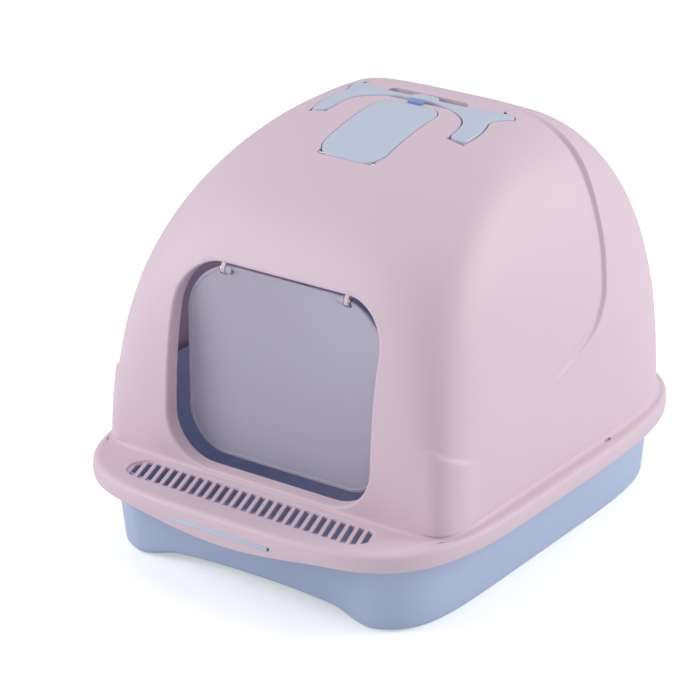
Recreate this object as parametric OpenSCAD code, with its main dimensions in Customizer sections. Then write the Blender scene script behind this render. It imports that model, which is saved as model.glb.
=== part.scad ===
// Hooded cat litter box: a deep pan, a domed cover with a drained step in front,
// a swing door, a carrying handle and a charcoal filter under a lid in the roof.
// Origin: middle of the footprint on the floor. +Z up, the door faces -Y.

/* [Cover] */
// Width over the skirt
cover_w = 400; // [340:5:480]
// Depth over the skirt
cover_d = 516; // [440:5:620]
// Height of the ledge around the foot of the dome
ledge_z = 88; // [80:1:120]
// Height of the dome above the ledge
dome_h = 291; // [250:1:350]
// Width of the ledge beside the dome
side_ledge = 14; // [11:1:24]
// Depth of the step in front of the dome
front_step = 68; // [60:1:90]
// Depth of the ledge behind the dome
rear_ledge = 16; // [12:1:30]
// Height of the skirt below the ledge
skirt_h = 17; // [14:1:24]
// Extra depth of the skirt in the middle of the front
skirt_dip = 9; // [0:1:12]
// Distance from the middle of the box back to the crest of the roof
crest_y = 70; // [50:1:90]
// Wall of the cover
cover_wall = 3; // [2:0.5:4]

/* [Door] */
// Width of the doorway
door_w = 216; // [180:2:240]
// Height of the doorway
door_h = 184; // [140:1:190]
// Height of the sill above the floor
sill_z = 92; // [92:1:130]
// Corner radius of the doorway
door_r = 43; // [20:1:60]
// Depth of the return around the doorway
frame_depth = 14; // [8:1:20]
// Gap between flap and doorway
flap_gap = 3; // [2:0.5:6]
// Thickness of the flap
flap_t = 2.5; // [2:0.5:4]
// Distance of each door ear from the side of the doorway
ear_inset = 49; // [44:1:58]
// Diameter of the door pins
door_pin_d = 4; // [3:0.5:5]

/* [Step] */
// Length of the drain recess
drain_l = 258; // [200:2:280]
// Width of the drain recess
drain_w = 36; // [26:1:38]
// Number of drain slots
slot_count = 27; // [15:2:31]
// Width of one slot
slot_w = 5.4; // [3:0.2:5.6]
// Lean of the drain slots towards the left
slot_slant = 19; // [0:1:25]
// Length of the blue strip in the skirt
strip_l = 102; // [60:1:120]
// Height of the blue strip
strip_h = 3.6; // [3:0.2:5]

/* [Roof] */
// Width of the filter lid
lid_w = 66; // [50:1:72]
// Distance of the lid's front edge ahead of the middle of the box
lid_front = 71; // [60:1:80]
// Distance of the lid's rear edge behind the middle of the box
lid_rear = 34; // [26:1:34]
// Corner radius of the lid
lid_r = 17; // [8:1:20]
// Depth of the filter basket below the lid
basket_h = 20; // [12:1:26]
// Thickness of the charcoal pad
pad_t = 11; // [6:1:11]
// Diameter of the lid pin
lid_pin_d = 2; // [1.5:0.5:2]
// Travel of the lid latch
latch_travel = 4; // [3:0.5:4]
// Thickness of the handle
handle_t = 7; // [6:0.5:8]
// Diameter of the handle pins
handle_pin_d = 4; // [3:0.5:4]
// Depth of the finger pocket under the handle bar
finger_depth = 24; // [18:1:30]

/* [Tray] */
// Inset of the tray wall from the skirt, at the sides
tray_inset = 25; // [23:1:34]
// Draft of the tray wall, over its height
tray_draft = 5; // [2:0.5:8]
// Wall of the tray
tray_wall = 3; // [2.5:0.5:4]
// Height of the raised wall inside the cover
tray_h = 143; // [100:1:160]
// Height of the arch between the front feet
arch_h = 13; // [8:1:30]
// Width of the arch between the front feet
arch_w = 248; // [200:2:260]
// How far the front is scooped in between its feet
scoop_depth = 15; // [6:1:20]

/* [Hidden] */
$fn = 48;

run_gap = 0.05; // radial clearance of a turning pin

pink = [0.85, 0.77, 0.81];
tray_blue = [0.70, 0.76, 0.85];
trim_blue = [0.75, 0.80, 0.88];
frosted = [0.72, 0.71, 0.76, 0.8];
steel = [0.7, 0.7, 0.72];
charcoal = [0.2, 0.2, 0.21];

// ---- Outlines in plan -------------------------------------------------------------
// Every outline is a rounded rectangle given by a power curve: half width, front, back,
// the line where it is widest, and one power for each end (2 is an ellipse).

corner_steps = 5;
turn_angles = [for (quarter = [0:3], step = [-corner_steps:corner_steps - 1])
    let (s = step / corner_steps) 90 * quarter + 45 + 45 * sign(s) * pow(abs(s), 1.6)];
ring_n = len(turn_angles);

function outline(half_w, front, back, widest, front_power, back_power) =
    [for (a = turn_angles)
        let (c = cos(a), s = sin(a), n = s < 0 ? front_power : back_power,
             reach = s < 0 ? widest - front : back - widest,
             r = pow(pow(abs(c), n) + pow(abs(s), n), -1 / n))
        [half_w * c * r, widest + reach * s * r]];

function at_height(points, z) = [for (p = points) [p[0], p[1], z]];

// A closed skin through rings of equal length, capped at both ends.
module loft(rings) {
    last = len(rings) - 1;
    polyhedron(
        points = [for (r = rings, p = r) p],
        faces = concat(
            [[for (j = [0:ring_n - 1]) j]],
            [[for (j = [ring_n - 1:-1:0]) last * ring_n + j]],
            [for (i = [0:last - 1], j = [0:ring_n - 1], half = [0, 1])
                let (a = i * ring_n, b = a + ring_n, k = (j + 1) % ring_n)
                half == 0 ? [a + j, b + j, b + k] : [a + j, b + k, a + k]]));
}

// ---- Dome -------------------------------------------------------------------------

dome_half_w = cover_w / 2 - side_ledge;
dome_front = -cover_d / 2 + front_step;
dome_back = cover_d / 2 - rear_ledge;
dome_widest = 12;
dome_steps = 14;
dome_last_angle = 88;

// How far out each side of the dome stands at a share z of its height, from 1 to 0.
function front_reach(z) = pow(1 - pow(z, 3.1), 1 / 2.6);
function side_reach(z) = pow(1 - pow(z, 2.1), 1 / 4.2);
function back_reach(z) = pow(1 - pow(z, 2.8), 1 / 1.65);
// Powers of the plan outline: nearly square in front at the foot, round at the top.
function front_power(z) = 13.4 - 11.4 * z;
function back_power(z) = 4.5 - 0.5 * pow(z, 0.3);

// Plan outline of the dome at a share z of its height, moved inwards by inset.
function dome_ring(z, inset) =
    outline((dome_half_w - inset) * side_reach(z),
            crest_y - (crest_y - dome_front - inset) * front_reach(z),
            crest_y + (dome_back - inset - crest_y) * back_reach(z),
            crest_y + (dome_widest - crest_y) * side_reach(z),
            front_power(z), back_power(z));

dome_shares = [for (i = [0:dome_steps]) sin(dome_last_angle * i / dome_steps)];
function dome_rings(inset) =
    [for (z = dome_shares) at_height(dome_ring(z, inset), ledge_z - inset + dome_h * z)];

// Solid dome whose surface lies inset below the outside of the cover.
module dome_solid(inset) {
    loft(concat([at_height(dome_ring(0, inset), ledge_z - inset - 6)], dome_rings(inset)));
}

// Face of the dome on the centre plane, in front of the crest.
function front_y(z) = crest_y - (crest_y - dome_front) * front_reach((z - ledge_z) / dome_h);
function roof_z(y) =
    ledge_z + dome_h * pow(1 - pow((crest_y - y) / (crest_y - dome_front), 2.6), 1 / 3.1);
// Height of the roof at a place beside the centre plane, found by halving.
function inside_dome(x, y, z) =
    let (mid = crest_y + (dome_widest - crest_y) * side_reach(z), front = y < mid,
         end = front ? crest_y - (crest_y - dome_front) * front_reach(z)
                     : crest_y + (dome_back - crest_y) * back_reach(z),
         n = front ? front_power(z) : back_power(z))
    pow(abs(x) / (dome_half_w * side_reach(z)), n) + pow(abs((y - mid) / (end - mid)), n) < 1;
function roof_share(x, y, low, high, left) =
    left == 0 ? low
    : let (z = (low + high) / 2) inside_dome(x, y, z)
        ? roof_share(x, y, z, high, left - 1) : roof_share(x, y, low, z, left - 1);
function roof_at(x, y) = ledge_z + dome_h * roof_share(x, y, 0, 0.9999, 20);

// ---- Skirt and ledge --------------------------------------------------------------

skirt_wall = cover_wall + 1;
skirt_widest = -27;
dip_half_w = 110;
function skirt_ring(inset) =
    outline(cover_w / 2 - inset, -cover_d / 2 + inset, cover_d / 2 - inset, skirt_widest, 4, 4);
function dip_at(p) =
    p[1] < 0 && abs(p[0]) < dip_half_w ? skirt_dip * pow(1 - pow(p[0] / dip_half_w, 2), 2) : 0;
function skirt_bottom(inset) =
    [for (p = skirt_ring(inset)) [p[0], p[1], ledge_z - skirt_h - dip_at(p)]];
under_ledge = ledge_z - cover_wall;

function hood_rings() = concat(
    [for (i = [dome_steps:-1:0]) dome_rings(cover_wall)[i]],
    [at_height(skirt_ring(skirt_wall), under_ledge)],
    [skirt_bottom(skirt_wall)],
    [skirt_bottom(1)],
    [at_height(skirt_ring(0), ledge_z - skirt_h + 5)],
    [at_height(skirt_ring(0.5), ledge_z - 4)],
    [at_height(skirt_ring(2), ledge_z - 1.6)],
    [at_height(skirt_ring(5), ledge_z - 0.4)],
    [at_height(dome_ring(0, -3), ledge_z)],
    [for (i = [0:dome_steps])
        at_height(dome_ring(dome_shares[i], 0), ledge_z + (i == 0 ? 3 : dome_h * dome_shares[i]))]);

// ---- Doorway ----------------------------------------------------------------------

door_top = sill_z + door_h;
door_axis_z = door_top - 6;
door_axis_y = front_y(door_axis_z) + 6;
ear_x = door_w / 2 - ear_inset;
ear_w = 6;
ear_r = 4;
bracket_w = 4;
bracket_r = 4;
bracket_x = ear_x + ear_w / 2 + 1;
door_pin_l = ear_w + bracket_w + 2.5;

module rounded_rect(w, h, r, facets = 48) {
    for (x = [-1, 1], y = [-1, 1])
        translate([x * (w / 2 - r), y * (h / 2 - r)]) circle(r, $fn = facets);
    square([w, h - 2 * r], center = true);
    square([w - 2 * r, h], center = true);
}

// Doorway as a bar along Y, grown by a margin.
module doorway(grow) {
    translate([0, 0, sill_z + door_h / 2]) rotate([90, 0, 0])
        linear_extrude(height = -dome_front + 20)
            rounded_rect(door_w + 2 * grow, door_h + 2 * grow, door_r + grow, 32);
}

// Return around the doorway: a tube between two depths of the front wall.
module door_frame() {
    intersection() {
        difference() {
            dome_solid(0.5);
            dome_solid(frame_depth);
        }
        difference() {
            doorway(cover_wall);
            doorway(0);
        }
    }
}

// Plate that carries one door pin, hanging from the wall above the doorway.
module door_bracket(side) {
    top_z = door_top + 12;
    top_y = front_y(top_z) + cover_wall - 1;
    translate([side > 0 ? bracket_x : -bracket_x - bracket_w, 0, 0])
        rotate([90, 0, 90]) linear_extrude(height = bracket_w) {
            translate([door_axis_y, door_axis_z]) circle(bracket_r);
            polygon([[door_axis_y - bracket_r + 1, door_axis_z], [door_axis_y + bracket_r, door_axis_z],
                     [top_y + 9, top_z + 2], [top_y, top_z]]);
        }
}

// ---- Step with drain slots --------------------------------------------------------

drain_y = -cover_d / 2 + 43;
drain_depth = 2;
drain_floor = 2;
slot_rim = 1.5;
slot_pitch = (drain_l - 12) / (slot_count - 1);

// A straight slot with round ends.
module slot(l, w, facets) {
    square([l - w, w], center = true);
    for (x = [-1, 1]) translate([x * (l - w) / 2, 0]) circle(w / 2, $fn = facets);
}

module drain_outline(grow) {
    translate([0, drain_y]) slot(drain_l + 2 * grow, drain_w + 2 * grow, 24);
}

module drain_slots() {
    intersection() {
        drain_outline(-slot_rim);
        for (i = [0:slot_count - 1])
            translate([(i - (slot_count - 1) / 2) * slot_pitch, drain_y]) rotate(slot_slant)
                square([slot_w, 2 * drain_w], center = true);
    }
}

// ---- Strip ------------------------------------------------------------------------

strip_z = ledge_z - 14;
strip_t = skirt_wall + 2;
module strip_bar(grow) {
    translate([-strip_l / 2 - grow, -cover_d / 2 - 0.5, strip_z - strip_h / 2 - grow])
        cube([strip_l + 2 * grow, strip_t, strip_h + 2 * grow]);
}

// ---- Roof: a tilted frame for the lid ---------------------------------------------
// u runs along X, v up the slope of the lid, w out of it. w = 0 is the chord between
// the lid's front and rear edges.

lid_z_front = roof_z(-lid_front);
lid_z_rear = roof_z(lid_rear);
lid_tilt = atan2(lid_z_rear - lid_z_front, lid_front + lid_rear);
lid_l = norm([lid_front + lid_rear, lid_z_rear - lid_z_front]);
lid_mid_y = (lid_rear - lid_front) / 2;
lid_crown = (roof_z(lid_mid_y) - (lid_z_front + lid_z_rear) / 2) * cos(lid_tilt);
lid_arc_r = (lid_l * lid_l / 4 + lid_crown * lid_crown) / (2 * lid_crown);
lid_t = 2.5;
lid_gap = 0.8;
rim_t = 1.2;
seat_w = -lid_t - 0.3 - rim_t;
pan_t = 3;
hinge_v = -lid_l / 2 + 2.6;
hinge_w = -1.6;
barrel_r = 2.2;
hinge_half = lid_w / 2 - 2.2;
lid_pin_half = hinge_half + 4;
basket_half_u = lid_w / 2 - 7;
basket_v0 = -lid_l / 2 + 10;
basket_v1 = lid_l / 2 - 9;
basket_wall = 1.6;
basket_rim = 2.5;

module on_lid() {
    translate([0, lid_mid_y, (lid_z_front + lid_z_rear) / 2]) rotate([lid_tilt, 0, 0]) children();
}

module lid_outline(grow) {
    rounded_rect(lid_w + 2 * grow, lid_l + 2 * grow, lid_r + grow);
}

module basket_outline(grow) {
    translate([-basket_half_u - grow, basket_v0 - grow])
        square([2 * (basket_half_u + grow), basket_v1 - basket_v0 + 2 * grow]);
}

// ---- Roof: handle -----------------------------------------------------------------

handle_proud = 1;
handle_gap = 1.2;
prong_x = 73;
prong_half = 8;
pivot_y = -3.5;
pivot_r = 4;
pivot_z = roof_at(prong_x, pivot_y) - 5;
pivot_pocket_r = pivot_r + 3.8;
bar_front = 48;
bar_rear = 60;
finger_half = 43;
finger_y0 = bar_front - 8;
finger_y1 = bar_rear + 3;
handle_pin_l = 6;

// Right half of the handle, a bow whose ends fork into a prong and a tip.
handle_half = [[0, bar_rear], [10, bar_rear], [15, 52], [40, 52], [58, 55.5], [73, 63], [84, 68],
    [87, 63], [79, 47], [76, 38], [79, 30], [82, 17], [prong_x + prong_half + 1, 4],
    [prong_x + prong_half, pivot_y - pivot_r], [prong_x - prong_half, pivot_y - pivot_r],
    [64, 6], [62.5, 15], [59, 24], [52, 31.5], [39, 39.5], [22, 46], [0, bar_front]];

module handle_outline() {
    offset(r = 1.5) offset(delta = -1.5)
        for (m = [0, 1]) mirror([m, 0]) polygon(handle_half);
}

module roof_band(top, bottom) {
    difference() {
        dome_solid(-top);
        dome_solid(bottom);
    }
}

module column(height = 2 * dome_h) {
    linear_extrude(height = height) children();
}

// ---- Cover ------------------------------------------------------------------------

latch_w = 14;
latch_y0 = lid_rear + 0.5;
latch_y1 = bar_front - latch_travel - 1.4;
latch_z = roof_z(latch_y0);
dovetail_h = 2;
dovetail_slope = 1.2;
dovetail_gap = 0.25;
tab_slot_y = 71;
tab_slot_l = 12;
tab_slot_w = 3.4;
tab_x = dome_half_w + 2.4;

// Bar along Y, wider at its foot, that the latch slides on.
module dovetail(l, grow) {
    foot = latch_w / 2 + grow;
    rotate([90, 0, 0]) mirror([0, 0, 1]) linear_extrude(height = l)
        translate([0, latch_z - dovetail_h]) polygon([
            [-foot, -grow], [foot, -grow], [foot - dovetail_slope, dovetail_h + 1],
            [dovetail_slope - foot, dovetail_h + 1]]);
}

module roof_pans() {
    // floor below the lid
    on_lid() translate([0, 0, seat_w - pan_t]) linear_extrude(height = pan_t - seat_w)
        lid_outline(lid_gap + 3);
    // ends of the lid's pin
    on_lid() translate([-lid_pin_half - 1.5, hinge_v, hinge_w]) rotate([0, 90, 0])
        cylinder(r = lid_pin_d / 2 + 2.5, h = 2 * lid_pin_half + 3);
    // floor below the handle
    intersection() {
        roof_band(-1, handle_t + 5);
        column() offset(r = handle_gap + 3) handle_outline();
    }
    // finger pocket
    translate([-finger_half - 3, finger_y0 - 3, ledge_z + dome_h - finger_depth - 3])
        cube([2 * finger_half + 6, finger_y1 - finger_y0 + 6, finger_depth + 1]);
    // pivot pockets
    for (m = [0, 1]) mirror([m, 0, 0]) translate([prong_x - prong_half - handle_pin_l - 2, pivot_y, pivot_z])
        rotate([0, 90, 0]) cylinder(r = pivot_pocket_r + 3, h = 2 * (prong_half + handle_pin_l + 2));
}

module roof_cuts() {
    on_lid() translate([0, 0, seat_w]) linear_extrude(height = 40) lid_outline(lid_gap);
    on_lid() translate([0, 0, seat_w - 20]) linear_extrude(height = 40) basket_outline(0.5);
    intersection() {
        roof_band(6, handle_t + 1.5);
        column() offset(r = handle_gap) handle_outline();
    }
    translate([-finger_half, finger_y0, ledge_z + dome_h - finger_depth])
        cube([2 * finger_half, finger_y1 - finger_y0, finger_depth + 10]);
    for (m = [0, 1]) mirror([m, 0, 0]) translate([prong_x - prong_half - handle_gap, pivot_y, pivot_z])
        rotate([0, 90, 0]) cylinder(r = pivot_pocket_r, h = 2 * (prong_half + handle_gap));
    translate([0, lid_rear - 1, 0]) dovetail(bar_front - lid_rear, dovetail_gap);
    // room for the lid's front edge to turn down into
    on_lid() translate([-hinge_half, hinge_v, hinge_w]) rotate([0, 90, 0])
        cylinder(r = barrel_r + 1.5, h = 2 * hinge_half);
}

module hood_skin() {
    difference() {
        union() {
            difference() {
                loft(hood_rings());
                doorway(0);
            }
            door_frame();
            translate([0, 0, ledge_z - drain_depth - drain_floor]) linear_extrude(height = drain_floor + 1)
                drain_outline(0.5);
            intersection() {
                dome_solid(0.6);
                roof_pans();
            }
        }
        translate([0, 0, ledge_z - drain_depth]) linear_extrude(height = 20) drain_outline(0);
        translate([0, 0, ledge_z - 20]) linear_extrude(height = 30) drain_slots();
        roof_cuts();
        strip_bar(0);
        for (m = [0, 1]) mirror([m, 0, 0])
            translate([tab_x - tab_slot_w / 2, tab_slot_y - tab_slot_l / 2, ledge_z - 20])
                cube([tab_slot_w, tab_slot_l, 26]);
    }
}

module hood() {
    color(pink) difference() {
        union() {
            resize([0, 0, 0]) hood_skin();
            for (side = [-1, 1]) door_bracket(side);
        }
        for (x = [-bracket_x - bracket_w - 1, bracket_x - 1])
            translate([x, door_axis_y, door_axis_z]) rotate([0, 90, 0])
                cylinder(d = door_pin_d, h = bracket_w + 2);
        for (side = [-1, 1]) handle_pin_shape(side);
        lid_pin_shape();
    }
}

module front_strip() {
    color(trim_blue) strip_bar(0);
}

// ---- Door -------------------------------------------------------------------------

module door_flap() {
    flap_w = door_w - 2 * flap_gap;
    flap_bottom = sill_z + flap_gap - 1;
    flap_top = door_top - 2;
    flap_h = flap_top - flap_bottom;
    notch_x = ear_x + ear_w / 2;
    notch_w = bracket_w + 4;
    color(frosted) difference() {
        union() {
            translate([0, door_axis_y + flap_t / 2, (flap_bottom + flap_top) / 2]) rotate([90, 0, 0])
                linear_extrude(height = flap_t) intersection() {
                    rounded_rect(flap_w, flap_h, door_r - flap_gap);
                    // rounder top corners, which clear the doorway as the flap swings
                    translate([0, -flap_h / 2]) rounded_rect(flap_w, 2 * flap_h, door_r + 10);
                }
            for (side = [-1, 1]) translate([side * ear_x - ear_w / 2, door_axis_y, door_axis_z])
                rotate([0, 90, 0]) cylinder(r = ear_r, h = ear_w);
        }
        for (side = [-1, 1]) translate([side > 0 ? notch_x : -notch_x - notch_w, door_axis_y - 10,
                                        door_axis_z - bracket_r - 1])
            cube([notch_w, 20, 30]);
        translate([-ear_x - ear_w, door_axis_y, door_axis_z]) rotate([0, 90, 0])
            cylinder(d = door_pin_d + 2 * run_gap, h = 2 * (ear_x + ear_w));
    }
}

module door_pin(side) {
    color(steel) translate([side > 0 ? ear_x - ear_w / 2 : -ear_x + ear_w / 2, door_axis_y, door_axis_z])
        rotate([0, side * 90, 0]) {
            cylinder(d = door_pin_d, h = door_pin_l);
            translate([0, 0, bracket_x + bracket_w - ear_x + ear_w / 2])
                cylinder(d = door_pin_d + 2.5, h = 1.2);
        }
}

module door_pin_left() { door_pin(-1); }
module door_pin_right() { door_pin(1); }

// ---- Filter -----------------------------------------------------------------------

module filter_basket() {
    color(pink) on_lid() difference() {
        union() {
            translate([0, 0, seat_w]) linear_extrude(height = rim_t) basket_outline(basket_rim);
            translate([0, 0, seat_w - basket_h]) linear_extrude(height = basket_h + rim_t) basket_outline(0);
        }
        translate([0, 0, seat_w - basket_h + basket_wall]) linear_extrude(height = basket_h + 10)
            basket_outline(-basket_wall);
        for (v = [basket_v0 + 8 : 8 : basket_v1 - 10])
            translate([-basket_half_u + 6, v, seat_w - basket_h - 1])
                cube([2 * basket_half_u - 12, 3.5, 10]);
    }
}

module filter_pad() {
    color(charcoal) on_lid() translate([0, 0, seat_w - basket_h + basket_wall])
        linear_extrude(height = pad_t) basket_outline(-basket_wall - 0.8);
}

module filter_lid() {
    color(trim_blue) on_lid() difference() {
        union() {
            intersection() {
                translate([0, 0, -lid_t]) linear_extrude(height = lid_t + lid_crown + 2) lid_outline(0);
                translate([-lid_w, 0, lid_crown - lid_arc_r]) rotate([0, 90, 0])
                    cylinder(r = lid_arc_r, h = 2 * lid_w, $fn = 200);
            }
            translate([-lid_w / 2 + lid_r, hinge_v, hinge_w]) rotate([0, 90, 0])
                cylinder(r = barrel_r, h = lid_w - 2 * lid_r);
        }
        translate([-lid_w, hinge_v, hinge_w]) rotate([0, 90, 0])
            cylinder(d = lid_pin_d + 2 * run_gap, h = 2 * lid_w);
    }
}

module lid_pin_shape() {
    on_lid() translate([-lid_pin_half, hinge_v, hinge_w]) rotate([0, 90, 0])
        cylinder(d = lid_pin_d, h = 2 * lid_pin_half);
}

module lid_pin() { color(steel) lid_pin_shape(); }

module filter_latch() {
    color(tray_blue) {
        translate([0, latch_y0, 0]) dovetail(latch_y1 - latch_y0, 0);
        translate([-latch_w / 2, latch_y0, latch_z + 0.5]) cube([latch_w, latch_y1 - latch_y0, 2.2]);
    }
}

// ---- Handle -----------------------------------------------------------------------

module carry_handle() {
    color(trim_blue) difference() {
        union() {
            resize([0, 0, 0]) intersection() {
                roof_band(handle_proud, handle_t - handle_proud);
                column() handle_outline();
            }
            for (side = [-1, 1]) translate([side * prong_x - prong_half, pivot_y, pivot_z])
                rotate([0, 90, 0]) cylinder(r = pivot_r, h = 2 * prong_half);
        }
        for (side = [-1, 1]) translate([side * prong_x - prong_half - 1, pivot_y, pivot_z])
            rotate([0, 90, 0]) cylinder(d = handle_pin_d + 2 * run_gap, h = 2 * prong_half + 2);
    }
}

module handle_pin_shape(side) {
    translate([side * prong_x - prong_half - handle_pin_l, pivot_y, pivot_z])
        rotate([0, 90, 0]) cylinder(d = handle_pin_d, h = 2 * (prong_half + handle_pin_l));
}

module handle_pin_left() { color(steel) handle_pin_shape(-1); }
module handle_pin_right() { color(steel) handle_pin_shape(1); }

// ---- Tray -------------------------------------------------------------------------

tray_half_w = cover_w / 2 - tray_inset;
tray_front = -cover_d / 2 + 31;
tray_back = cover_d / 2 - 18;
tray_widest = 1;
tray_front_power = 6.4;
tray_back_power = 5.1;
rest_gap = 0.1; // air left between the rim and the ledge that rests on it
rim_z = under_ledge - rest_gap;
rim_plate = 3;
wall_low = ledge_z - drain_depth - drain_floor - 0.5;

function tray_ring(inset) =
    outline(tray_half_w - inset, tray_front + 1.6 * inset, tray_back - inset, tray_widest,
            tray_front_power, tray_back_power);
// The wall is low under the step and rises to its full height behind the doorway.
function rise(y) = let (s = max(0, min(1, (y - dome_front - 32) / 60))) s * s * (3 - 2 * s);
// Above the rim the wall steps in, to stand clear of the dome.
function wall_ring(inset) =
    outline(tray_half_w - 2 - inset, tray_front + inset, dome_back - cover_wall - 8 - inset,
            tray_widest, tray_front_power, 4.2);
function tray_top(inset) =
    [for (p = wall_ring(inset)) [p[0], p[1], wall_low + (tray_h - wall_low) * rise(p[1])]];

tray_outer = [at_height(tray_ring(tray_draft + 5), 0), at_height(tray_ring(tray_draft + 1.5), 1.5),
    at_height(tray_ring(tray_draft), 6), at_height(tray_ring(0), rim_z - rim_plate),
    at_height(wall_ring(0), rim_z - rim_plate + 1)];
tray_inner = [at_height(tray_ring(tray_draft + tray_wall + 8), tray_wall),
    at_height(tray_ring(tray_draft + tray_wall + 2), tray_wall + 2),
    at_height(tray_ring(tray_draft + tray_wall), tray_wall + 8),
    at_height(tray_ring(tray_wall), rim_z - rim_plate - 3),
    at_height(wall_ring(tray_wall), rim_z - rim_plate - 1)];

module arch_outline(grow) {
    half = arch_w / 2 + grow;
    shoulder = 42;
    polygon(concat([[half, -5], [half, 0]],
        [for (i = [1:8]) [half - shoulder * i / 8, (arch_h + grow) * (1 - cos(180 * i / 8)) / 2]],
        [for (i = [8:-1:1]) [-half + shoulder * i / 8, (arch_h + grow) * (1 - cos(180 * i / 8)) / 2]],
        [[-half, 0], [-half, -5]]));
}

// What is taken from under the front: a shallow hollow and an arch that slopes back.
module front_scoop(grow) {
    scoop_r = (arch_w * arch_w / 4 + scoop_depth * scoop_depth) / (2 * scoop_depth);
    foot_y = tray_front + 1.6 * tray_draft;
    slope_l = 95;
    translate([0, foot_y + scoop_depth - scoop_r, -1])
        cylinder(r = scoop_r + grow, h = rim_z - rim_plate - 4 + grow, $fn = 240);
    intersection() {
        translate([0, foot_y + slope_l + 10, 0]) rotate([90, 0, 0])
            linear_extrude(height = slope_l + 60) arch_outline(grow);
        translate([-cover_w / 2, 0, 0]) rotate([90, 0, 90]) linear_extrude(height = cover_w)
            polygon([[foot_y - 40, -5], [foot_y - 40, arch_h + 40], [foot_y, arch_h + grow + 2],
                     [foot_y + slope_l + 3 * grow, 0], [foot_y + slope_l + 3 * grow, -5]]);
    }
}

module tray_shell() {
    difference() {
        loft(concat(tray_outer, [tray_top(0), tray_top(tray_wall + 1)]));
        difference() {
            loft(concat(tray_inner, [at_height(wall_ring(tray_wall), tray_h + 10)]));
            front_scoop(tray_wall);
        }
        front_scoop(0);
    }
}

module tray() {
    tab_h = 4;
    color(tray_blue) {
        resize([0, 0, 0]) union() {
            tray_shell();
            difference() {
                translate([0, 0, rim_z - rim_plate]) linear_extrude(height = rim_plate)
                    polygon(skirt_ring(skirt_wall + 2.5));
                translate([0, 0, rim_z - rim_plate - 1]) linear_extrude(height = rim_plate + 2)
                    polygon(wall_ring(tray_wall / 2));
                // room for the floor of the drain recess
                translate([0, 0, ledge_z - drain_depth - drain_floor - 0.5]) linear_extrude(height = 4)
                    drain_outline(1.5);
            }
        }
        for (side = [-1, 1]) translate([side * tab_x - 1.2, tab_slot_y - tab_slot_l / 2 + 1, rim_z - 1])
            cube([2.4, tab_slot_l - 2, tab_h]);
    }
}

tray();
hood();
front_strip();
door_flap();
door_pin_left();
door_pin_right();
filter_basket();
filter_pad();
filter_lid();
lid_pin();
filter_latch();
carry_handle();
handle_pin_left();
handle_pin_right();
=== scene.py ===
import math

import bmesh
import bpy
import numpy as np
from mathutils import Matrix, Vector


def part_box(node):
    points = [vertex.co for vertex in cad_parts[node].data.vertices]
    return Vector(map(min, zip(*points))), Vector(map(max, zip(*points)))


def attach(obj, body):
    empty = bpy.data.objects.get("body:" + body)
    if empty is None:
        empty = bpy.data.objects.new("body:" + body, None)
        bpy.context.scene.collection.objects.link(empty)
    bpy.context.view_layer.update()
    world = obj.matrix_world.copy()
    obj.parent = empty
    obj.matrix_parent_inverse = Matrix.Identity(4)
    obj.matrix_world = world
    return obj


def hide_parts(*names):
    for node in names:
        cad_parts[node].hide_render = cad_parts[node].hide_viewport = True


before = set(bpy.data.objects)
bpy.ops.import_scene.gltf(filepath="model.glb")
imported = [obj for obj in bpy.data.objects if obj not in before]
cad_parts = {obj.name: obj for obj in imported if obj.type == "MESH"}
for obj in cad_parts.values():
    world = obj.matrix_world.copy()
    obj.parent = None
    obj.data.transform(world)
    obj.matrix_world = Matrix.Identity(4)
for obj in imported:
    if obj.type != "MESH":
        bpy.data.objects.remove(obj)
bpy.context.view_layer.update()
scene = bpy.context.scene
scene.view_settings.view_transform = "Standard"

# Lengths are millimetres until a mesh is made, and the mesh is in metres.

# ---- Camera -----------------------------------------------------------------------
# A long lens a little above the roof, looking down on the door and the right side.
view_azimuth = math.radians(35.35)
view_elevation = math.radians(22.93)
view_distance = 2.743
view_target = Vector((-0.0345, -0.0346, 0.1703))
toward_camera = Vector((math.sin(view_azimuth) * math.cos(view_elevation),
                        -math.cos(view_azimuth) * math.cos(view_elevation),
                        math.sin(view_elevation)))
camera_data = bpy.data.cameras.new("camera")
camera_data.sensor_width = 36.0
camera_data.lens = 162.8
camera = bpy.data.objects.new("camera", camera_data)
camera.location = view_target + toward_camera * view_distance
camera.rotation_euler = toward_camera.to_track_quat("Z", "Y").to_euler()
scene.collection.objects.link(camera)
scene.camera = camera

# ---- Studio -----------------------------------------------------------------------
# A pale floor that fades into a white room, a large soft box on each side of the
# camera and a weak one above, which leave the corner towards the camera in shade.
room = bpy.data.worlds.new("white_room")
room.use_nodes = True
tree = room.node_tree
sky = tree.nodes["Background"]
sky.inputs["Color"].default_value = (0.95, 0.94, 1.0, 1.0)
sky.inputs["Strength"].default_value = 0.50
backdrop = tree.nodes.new("ShaderNodeBackground")
backdrop.inputs["Color"].default_value = (1.0, 1.0, 1.0, 1.0)
seen = tree.nodes.new("ShaderNodeLightPath")
either = tree.nodes.new("ShaderNodeMixShader")
tree.links.new(seen.outputs["Is Camera Ray"], either.inputs["Fac"])
tree.links.new(sky.outputs["Background"], either.inputs[1])
tree.links.new(backdrop.outputs["Background"], either.inputs[2])
tree.links.new(either.outputs["Shader"], tree.nodes["World Output"].inputs["Surface"])
scene.world = room


def soft_box(name, azimuth, elevation, distance, width, height, power, tint):
    """A rectangular light that faces the middle of the box from that direction."""
    a, e = math.radians(azimuth), math.radians(elevation)
    away = Vector((math.sin(a) * math.cos(e), -math.cos(a) * math.cos(e), math.sin(e)))
    lamp = bpy.data.lights.new(name, "AREA")
    lamp.shape = "RECTANGLE"
    lamp.size, lamp.size_y = width, height
    lamp.energy = power
    lamp.color = tint
    light = bpy.data.objects.new(name, lamp)
    light.location = Vector((0, 0, 0.2)) + away * distance
    light.rotation_euler = away.to_track_quat("Z", "Y").to_euler()
    scene.collection.objects.link(light)


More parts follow.
